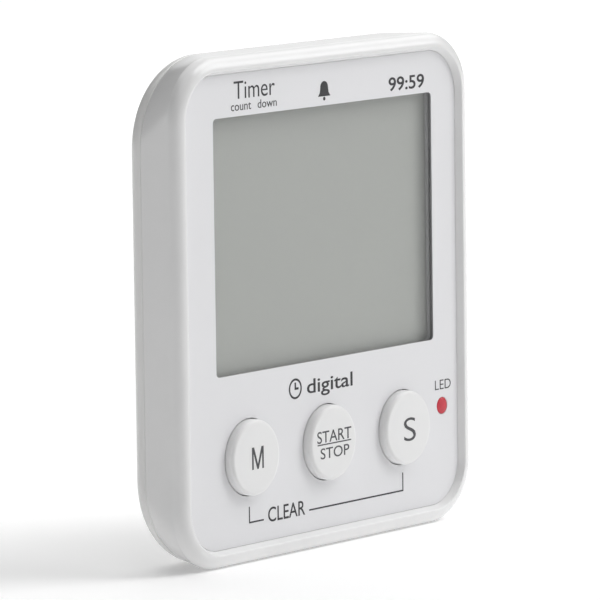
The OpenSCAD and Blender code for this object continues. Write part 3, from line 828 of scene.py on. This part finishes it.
def key_legends():
    """The letters on the buttons, which travel with them."""
    y = KEY_TOP_Y + INK_T
    m, c, s = KEY_X["minutes"], KEY_X["start_stop"], KEY_X["seconds"]
    words = {
        "minutes": [letter_m(m - 1.6, m + 2.3, KEY_Z - 2.4, 4.7, y)],
        "start_stop": [text_mesh("START", c - 5.8, c + 6.0, KEY_Z + 0.35, 2.5, y, 0.002),
                       bar(c - 5.7, c + 5.9, KEY_Z - 0.15, KEY_Z + 0.1, y),
                       text_mesh("STOP", c - 4.7, c + 5.2, KEY_Z - 3.1, 2.3, y, 0.002)],
        "seconds": [text_mesh("S", s - 1.8, s + 2.4, KEY_Z - 2.9, 5.1, y, -0.008)],
    }
    for name, marks in words.items():
        legend = finish_mesh(join(f"{name}_legend", marks), f"{name}_legend", KEY_INK)
        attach(legend, f"{name}_key")


# --- Back -----------------------------------------------------------------------------------------


def sector(x, z, r0, r1, y0, y1, middle_angle, width):
    """A block that is part of a ring about a line along Y, in degrees anticlockwise from +X seen from -Y."""
    steps = 10
    rings = []
    for i in range(steps + 1):
        a = math.radians(middle_angle - width / 2 + width * i / steps)
        c, s = math.cos(a), math.sin(a)
        rings.append([(x + r * c, y, z + r * s) for r, y in ((r0, y0), (r1, y0), (r1, y1), (r0, y1))])
    return loft("sector", rings)


def bar_x(x0, x1, y, z, r, steps=48):
    """A round bar along X."""
    turns = [2 * math.pi * i / steps for i in range(steps)]
    return loft("bar", [[(x, y + r * math.cos(a), z + r * math.sin(a)) for a in turns] for x in (x0, x1)])


def rear_rings():
    """The rear shell's whole skin, from the flat back round the edge, over the lip and into the hollow."""
    inner_y = BACK_Y - WALL
    flat_border, steps = 0.5, ROUND_STEPS + 8
    lip_out, lip_in, lip_y = 1.65, 2.65, PART_Y - 1.2
    step_y, hollow = PART_Y + 1.6, 3.8
    rings = [case_ring(BACK_Y, REAR_ROUND_W + flat_border, REAR_CORNER_R)]
    for i in range(steps + 1):
        a = math.pi / 2 * (1 - i / steps)
        inset = REAR_ROUND_W * (1 - math.cos(a))
        y = PART_Y + REAR_ROUND_D * math.sin(a)
        if y > PART_Y + SEAM:
            rings.append(case_ring(y, inset, REAR_CORNER_R))
    for y, inset in ((PART_Y + SEAM, 0), (PART_Y, SEAM), (PART_Y, lip_out), (lip_y, lip_out),
                     (lip_y, lip_in), (step_y, lip_in), (step_y, hollow), (inner_y, hollow)):
        rings.append(case_ring(y, inset, REAR_CORNER_R))
    return rings


def mouth(edge):
    """(depth, widening) of the last two levels of a cutter with a bevelled mouth in the back."""
    return [(BACK_Y - edge, 0), (BACK_Y + BEVEL_RUN, edge + BEVEL_RUN)]


def pocket(x, z, r, floor_y, edge, steps=TURN_STEPS):
    """A cutter for a round pocket in the back, with a bevelled mouth."""
    return turned(x, z, [(r, floor_y)] + [(r + e, y) for y, e in mouth(edge)], steps)


def recess(z, w, h, r, floor_y, edge):
    """A cutter for a rounded recess in the middle of the back, with a bevelled mouth."""
    return block(0, z, w, h, r, [(floor_y, 0)] + mouth(edge), 10)


def sound_places():
    """One sound hole in the middle and six round it."""
    ring_r = 3.6
    turns = [math.radians(60 * i) for i in range(6)]
    return [(SOUND_X, SOUND_Z)] + [(SOUND_X + ring_r * math.cos(a), SOUND_Z + ring_r * math.sin(a))
                                   for a in turns]


def thicken_back(shell):
    """The pads inside the back, for the door, cell, leg, hinge, magnets, screws and sounder."""
    inner_y = BACK_Y - WALL
    root_y = inner_y + 0.2
    door_pad_r, door_pad_d, cup_wall, cup_floor_t = 16.4, 3.6, 1.2, 0.9
    leg_pad_low, leg_pad_high, leg_pad_w, leg_pad_r = LEG_TIP - 2, HINGE_Z + 3.7, LEG_W + 3, 3
    leg_pad_y, scoop_pad_r = BACK_Y - RECESS_D - 1.1, 7.1
    hinge_pad_w, hinge_pad_h, hinge_pad_r, hinge_pad_y = PIN_L + 2.4, 7.3, 0.3, PIN.y - 3.3
    magnet_wall, magnet_pad_d, screw_pad_r = 1.3, 3.2, 3.2
    rib_r, rib_w, rib_d = 10, 1, 0.9
    add(shell, rod(0, DOOR_Z, door_pad_r, BACK_Y - door_pad_d, root_y),
        rod(0, DOOR_Z, CUP_R + cup_wall, CELL_LOW.y - cup_floor_t, root_y),
        slab(0, (leg_pad_high + leg_pad_low) / 2, leg_pad_w, leg_pad_high - leg_pad_low, leg_pad_r,
             leg_pad_y, root_y),
        rod(0, LEG_TIP - SCOOP_DROP, scoop_pad_r, leg_pad_y, root_y),
        slab(0, HINGE_Z + 0.05, hinge_pad_w, hinge_pad_h, hinge_pad_r, hinge_pad_y, root_y))
    add(shell, *[rod(x, DOOR_Z, MAGNET_R + magnet_wall, BACK_Y - magnet_pad_d, root_y)
                 for x in (-MAGNET_X, MAGNET_X)])
    add(shell, *[rod(x, z, screw_pad_r, PART_Y, root_y, steps=48)
                 for x, z in both_sides(CASE_SCREW_X, CASE_SCREW_Z)])
    rib = rod(SOUND_X, SOUND_Z, rib_r, inner_y - rib_d, root_y)
    add(shell, cut(rib, rod(SOUND_X, SOUND_Z, rib_r - rib_w, inner_y - 2, inner_y)))


def cut_door_bore(shell):
    """The door's bore with its bayonet groove and entries, and the contacts' slots in the cell's cup."""
    ledge_y, lip_y = BACK_Y - DOOR_T - SLIP_GAP, BACK_Y - DOOR_T + LUG_T + SLIP_GAP
    edge, entry_r, entry_play, entry_d = 0.2, (LUG_R + GROOVE_R) / 2, 6, 0.4
    low_y, strip_top_y = CELL_LOW.y - 2, BACK_Y - 3.7
    points = [(0, CELL_LOW.y), (CUP_R, CELL_LOW.y), (CUP_R, ledge_y), (GROOVE_R, ledge_y),
              (GROOVE_R, lip_y), (DOOR_R + SLIP_GAP, lip_y)]
    points += [(DOOR_R + SLIP_GAP + e, y) for y, e in mouth(edge)] + [(0, BACK_Y + BEVEL_RUN)]
    cut(shell, turned(0, DOOR_Z, points))
    for side in (-RELEASE_ANGLE, 180 - RELEASE_ANGLE):
        cut(shell, sector(0, DOOR_Z, DOOR_R - 1, entry_r, lip_y - entry_d, BACK_Y + PAST, side,
                          LUG_ANGLE + entry_play))
    cut(shell, slab(0, DOOR_Z, 6, 6, 0.4, low_y, CELL_LOW.y + PAST),
        slab(CUP_R - 0.35, DOOR_Z, 2.1, 4.4, 0.1, low_y, strip_top_y))


def cut_leg_recess(shell):
    """The leg's recess, the well and bore of its hinge, and the finger scoop at its tip."""
    top, corner_r, edge = HINGE_Z + 2.6, 2, 0.2
    w, h = LEG_W + 2 * RECESS_GAP, top - LEG_TIP + RECESS_GAP
    well_h, well_y, bore_r = 5.0, PIN.y - 2.2, 0.8
    floor_y, scoop_r, scoop_round = BACK_Y - RECESS_D, 6.0, 0.8
    scoop = [(scoop_r - scoop_round, floor_y), (scoop_r, floor_y + scoop_round)]
    scoop += [(scoop_r + e, y) for y, e in mouth(edge)]
    cut(shell, recess((top + LEG_TIP - RECESS_GAP) / 2, w, h, corner_r, floor_y, edge),
        slab(0, HINGE_Z + 0.1, w, well_h, 0.1, well_y, BACK_Y - 0.4),
        bar_x(-PIN_L / 2, PIN_L / 2, PIN.y, HINGE_Z, bore_r),
        turned(0, LEG_TIP - SCOOP_DROP, scoop))


def rear_shell():
    """The rear cover with its door bore, leg recess, magnet pockets, screw wells and sound holes."""
    shell = loft("rear_shell", rear_rings())
    thicken_back(shell)
    cut_door_bore(shell)
    cut_leg_recess(shell)
    magnet_play, magnet_floor_d, pocket_edge = 0.1, 2.2, 0.15
    screw_hole_r, well_r, well_floor_y, well_edge = 1.2, 2.1, PART_Y + 1.6, 0.2
    sound_r = 0.75
    for x in (-MAGNET_X, MAGNET_X):
        cut(shell, pocket(x, DOOR_Z, MAGNET_R + magnet_play, BACK_Y - magnet_floor_d, pocket_edge))
    for x, z in both_sides(CASE_SCREW_X, CASE_SCREW_Z):
        cut(shell, rod(x, z, screw_hole_r, PART_Y - 2, BACK_Y + PAST, steps=32),
            pocket(x, z, well_r, well_floor_y, well_edge, 48))
    for x, z in sound_places():
        cut(shell, pocket(x, z, sound_r, BACK_Y - WALL - PAST, pocket_edge, 32))
    finish_mesh(shell, "rear_shell", BACK)
    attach(shell, "case")
    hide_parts("rear_housing")


def door_disc():
    """The flush battery door: a bevelled disc with a coin slot, a turning arrow and its two lugs."""
    door_y = BACK_Y - DOOR_T
    edge, inner_edge, border = 0.2, 0.1, 0.3
    slot_l, slot_w, slot_r, slot_d, slot_edge = 13, 2, 0.95, 0.9, 0.15
    arrow_r, arrow_w, arrow_d, sweep, head_l, head_w, overlap = 9.8, 0.8, 0.25, 44, 2.0, 2.4, 0.05
    disc = turned(0, DOOR_Z, [(0, door_y), (DOOR_R - inner_edge, door_y), (DOOR_R, door_y + inner_edge),
                              (DOOR_R, BACK_Y - edge), (DOOR_R - edge, BACK_Y),
                              (DOOR_R - edge - border, BACK_Y), (0, BACK_Y)])
    for side in (0, 180):
        add(disc, sector(0, DOOR_Z, DOOR_R - 1, LUG_R, door_y, door_y + LUG_T, side, LUG_ANGLE))
    cut(disc, recess(DOOR_Z, slot_l, slot_w, slot_r, BACK_Y - slot_d, slot_edge))
    levels = (BACK_Y - arrow_d, BACK_Y + PAST)
    for side in (90, 270):
        cut(disc, sector(0, DOOR_Z, arrow_r - arrow_w / 2, arrow_r + arrow_w / 2, *levels, side, sweep))
        a = math.radians(side + sweep / 2)
        c, s = math.cos(a), math.sin(a)
        head = [(arrow_r * c + u * c - v * s, DOOR_Z + arrow_r * s + u * s + v * c)
                for u, v in ((head_w / 2, -overlap), (0, head_l), (-head_w / 2, -overlap))]
        cut(disc, loft("cutter", [[(px, y, pz) for px, pz in head] for y in levels]))
    finish_mesh(disc, "door_disc", BACK)
    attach(disc, "door")
    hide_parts("battery_door")


def leg_plate():
    """The fold-out leg: a bevelled plate with a sunk panel, grip ribs by its tip and the hinge barrel."""
    y0, y1, top = BACK_Y - 2.2, BACK_Y - 0.2, HINGE_Z - 0.6
    corner_r, edge, barrel_r, bore_r = 1.6, 0.25, 1.8, 0.85
    panel_low, panel_high, panel_w, panel_r = LEG_TIP + 9, HINGE_Z - 6, LEG_W - 8, 2
    grips, grip_z, grip_pitch, grip_w, grip_h, grip_r, grip_d = 3, LEG_TIP + 3.2, 1.6, 16, 0.7, 0.34, 0.35
    plate = slab(0, (top + LEG_TIP) / 2, LEG_W, top - LEG_TIP, corner_r, y0, y1, edge)
    add(plate, bar_x(-LEG_W / 2, LEG_W / 2, PIN.y, HINGE_Z, barrel_r))
    panel_levels = ((y1 - 0.5, 0), (y1 - 0.1, 0.2), (y1 + 0.5, 0.8))
    cut(plate, block(0, (panel_low + panel_high) / 2, panel_w, panel_high - panel_low, panel_r, panel_levels,
                     CORNER_STEPS))
    for i in range(grips):
        cut(plate, slab(0, grip_z + grip_pitch * i, grip_w, grip_h, grip_r, y1 - grip_d, y1 + PAST, steps=6))
    cut(plate, bar_x(-LEG_W / 2 - PAST, LEG_W / 2 + PAST, PIN.y, HINGE_Z, bore_r))
    finish_mesh(plate, "leg_plate", BACK)
    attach(plate, "leg")
    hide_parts("stand_leg")


def cross_screws():
    """The four case screws: a domed head with a cross recess on a plain shank."""
    low, high = box_mm("case_screws")
    shank_r, tip_r, tip_l, head_r, head_t = 1.0, 0.75, 0.5, 1.9, 1.4
    rim_t, dome_in, dome_up, dome_steps = 0.6, 0.9, 0.75, 8
    cross_l, cross_w, cross_r, cross_d = 2.3, 0.5, 0.1, 0.8
    seat_y = high.y - head_t
    rim_y = seat_y + rim_t
    angles = [math.pi / 2 * i / dome_steps for i in range(1, dome_steps + 1)]
    profile = [(0, low.y), (tip_r, low.y), (shank_r, low.y + tip_l), (shank_r, seat_y), (head_r, seat_y),
               (head_r, rim_y)]
    profile += [(head_r - dome_in * (1 - math.cos(a)), rim_y + dome_up * math.sin(a)) for a in angles]
    parts = []
    for x, z in both_sides(CASE_SCREW_X, CASE_SCREW_Z):
        screw = turned(x, z, profile + [(0, high.y)], 48)
        for w, h in ((cross_l, cross_w), (cross_w, cross_l)):
            cut(screw, slab(x, z, w, h, cross_r, high.y - cross_d, high.y + PAST, steps=2))
        parts.append(screw)
    screws = finish_mesh(join("cross_screws", parts), "cross_screws", METALS["screw"])
    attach(screws, "case")
    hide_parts("case_screws")


def magnet_discs():
    low, high = box_mm("magnets")
    edge = 0.25
    parts = [rod(x, DOOR_Z, MAGNET_R, low.y, high.y, edge) for x in (-MAGNET_X, MAGNET_X)]
    discs = finish_mesh(join("magnet_discs", parts), "magnet_discs", METALS["magnet"])
    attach(discs, "case")
    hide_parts("magnets")


METALS = {
    "screw": metal("zinc_plate", srgb(196, 197, 200), 0.3, (1, 1, 1), 3.0, 0.002),
    "magnet": metal("nickel_plate", srgb(188, 187, 184), 0.22, (1, 1, 1), 1.5, 0.002),
    "steel": metal("drawn_steel", srgb(190, 190, 193), 0.3, (0.2, 4, 4), 1.5),
    "brass": metal("rolled_brass", srgb(214, 178, 106), 0.3, (0.3, 3, 3), 1.2),
    "tin": metal("tinned_wire", srgb(205, 205, 208), 0.34, (3, 0.3, 3), 2.0),
    "cell": metal("nickel_steel", srgb(200, 200, 202), 0.24, (0.15, 3, 3), 1.0),
}


def dress_inner_parts():
    """Procedural materials for the CAD nodes that stay as they are, inside the case."""
    # Dark grey frame plastic. It is darkened further as painted shade for the recess round the display.
    moulded = plastic("frame_grey_painted_shade", srgb(120, 120, 122), 0.45, 0.15, 0.004)
    film = plastic("reflector_satin", srgb(196, 198, 190), 0.3, 0.08, 0.003)
    ceramic = plastic("capacitor_tan", srgb(188, 158, 120), 0.5, 0.06, 0.003)
    epoxy = plastic("epoxy_black", srgb(26, 26, 28), 0.28, 0.5, 0.02)
    silver = plastic("silvered_ceramic", srgb(226, 224, 218), 0.4, 0.06, 0.004)
    sleeve = plastic("red_sleeve", srgb(176, 32, 30), 0.35, 0.2, 0.004)
    looks = {
        "lcd_frame": moulded,
        "lcd_reflector": film,
        "zebra_strip": rubber("layered_rubber", srgb(120, 120, 124)),
        "circuit_board": laminate("solder_mask", srgb(20, 82, 44), srgb(52, 128, 74)),
        "controller_chip": epoxy,
        "quartz_crystal": METALS["tin"],
        "chip_capacitors": ceramic,
        "chip_resistors": epoxy,
        "minutes_contact": rubber("carbon_pill", srgb(34, 34, 36)),
        "led_leads": METALS["tin"],
        "buzzer_disc": METALS["brass"],
        "buzzer_ceramic": silver,
        "buzzer_wires": sleeve,
        "coin_cell": METALS["cell"],
        "positive_contact": METALS["brass"],
        "negative_contact": METALS["brass"],
        "stand_pin": METALS["steel"],
        "board_screws": METALS["screw"],
    }
    looks["start_stop_contact"] = looks["seconds_contact"] = looks["minutes_contact"]
    for node, material in looks.items():
        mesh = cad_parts[node].data
        for i in range(max(len(mesh.materials), 1)):
            if len(mesh.materials) <= i:
                mesh.materials.append(material)
            else:
                mesh.materials[i] = material


# --- Studio ---------------------------------------------------------------------------------------

CAMERA_AZIMUTH = -51.8
CAMERA_ELEVATION = 6.9
CAMERA_ROLL = -0.76
CAMERA_DISTANCE = 1284.5
CAMERA_LENS = 363.5
AIM_ACROSS, AIM_UP = -5.68, -14.28


def toward(azimuth, elevation):
    """The direction to a place round the object. Azimuth 0 is in front of the face, 90 to its right."""
    a, e = math.radians(azimuth), math.radians(elevation)
    return Vector((math.sin(a) * math.cos(e), -math.cos(a) * math.cos(e), math.sin(e)))


def camera():
    """The camera looks at a point beside the window's centre, on the face."""
    a, roll = math.radians(CAMERA_AZIMUTH), math.radians(CAMERA_ROLL)
    back = toward(CAMERA_AZIMUTH, CAMERA_ELEVATION)
    right = Vector((math.cos(a), math.sin(a), 0))
    up = back.cross(right)
    rolled_right = math.cos(roll) * right + math.sin(roll) * up
    rolled_up = -math.sin(roll) * right + math.cos(roll) * up
    data = bpy.data.cameras.new("camera")
    data.lens = CAMERA_LENS
    data.sensor_width = 36
    data.clip_start = 0.01
    data.clip_end = 100
    obj = placed("camera", data)
    centre = Vector((WINDOW_X, FACE_Y, WINDOW_Z))
    place = centre + back * CAMERA_DISTANCE + right * AIM_ACROSS + up * AIM_UP
    turn = Matrix((rolled_right, rolled_up, back)).transposed().to_4x4()
    obj.matrix_world = Matrix.Translation(place * MM) @ turn
    bpy.context.scene.camera = obj


def softbox(name, azimuth, elevation, across, power):
    """A square light that faces the object."""
    data = bpy.data.lights.new(name, "AREA")
    data.shape = "SQUARE"
    data.size = across
    data.energy = power
    obj = placed(name, data)
    away = toward(azimuth, elevation)
    obj.location = Vector((0, 0, CENTRE_Z)) * MM + away * LIGHT_DISTANCE
    obj.rotation_euler = away.to_track_quat("Z", "Y").to_euler()


# Each light: azimuth, elevation, size in metres and power. All stand LIGHT_DISTANCE metres away.
LIGHT_DISTANCE = 3.0
LIGHTS = {
    "key": (50, 21, 1.3, 20.0),
    "high_right": (45, 50, 1.5, 34.0),
    "side_right": (85, 40, 1.5, 15.5),
    "front_left": (-35, 50, 1.5, 7.0),
    "overhead": (-10, 82, 2.5, 20.0),
    "rear_top": (150, 60, 2.5, 25.0),
    "rear_right": (120, 35, 1.5, 4.0),
    "rear_left": (-135, 8, 1.5, 7.0),
    "behind": (128, 14, 1.5, 6.0),
}
SURROUND_STRENGTH = 0.01
FLOOR_GLOW = 0.19


def floor_material():
    """Matt white paint with a little light of its own, so that the floor stays white behind the object."""
    material = plastic("floor_paint", (0.92, 0.92, 0.92, 1.0), 0.7, 2.0, 0.01, 0.005, 0.2)
    shader = [n for n in material.node_tree.nodes if n.type == "BSDF_PRINCIPLED"][0]
    shader.inputs["Emission Color"].default_value = (1.0, 1.0, 1.0, 1.0)
    shader.inputs["Emission Strength"].default_value = FLOOR_GLOW
    return material


def studio():
    """A pale floor, a dim surround and the softboxes."""
    world = bpy.data.worlds.new("surround")
    world.use_nodes = True
    background = world.node_tree.nodes["Background"]
    background.inputs["Color"].default_value = (1.0, 1.0, 1.0, 1.0)
    background.inputs["Strength"].default_value = SURROUND_STRENGTH
    bpy.context.scene.world = world
    size, top, thick = 6000, -0.02, 3
    bm = bmesh.new()
    loft_into(bm, [[(-size, -size, z), (size, -size, z), (size, size, z), (-size, size, z)]
                   for z in (top - thick, top)])
    floor = new_mesh("floor", bm)
    dress(floor, floor_material())
    for name, (azimuth, elevation, across, power) in LIGHTS.items():
        softbox(name, azimuth, elevation, across, power)
    bpy.context.scene.view_settings.view_transform = "Standard"


front_shell()
face_film()
window_pane()
lcd_glass()
lamp_lens()
for key_name in KEY_NODES:
    key_cap(key_name)
keypad()
face_legends()
key_legends()
rear_shell()
door_disc()
leg_plate()
cross_screws()
magnet_discs()
dress_inner_parts()
camera()
studio()
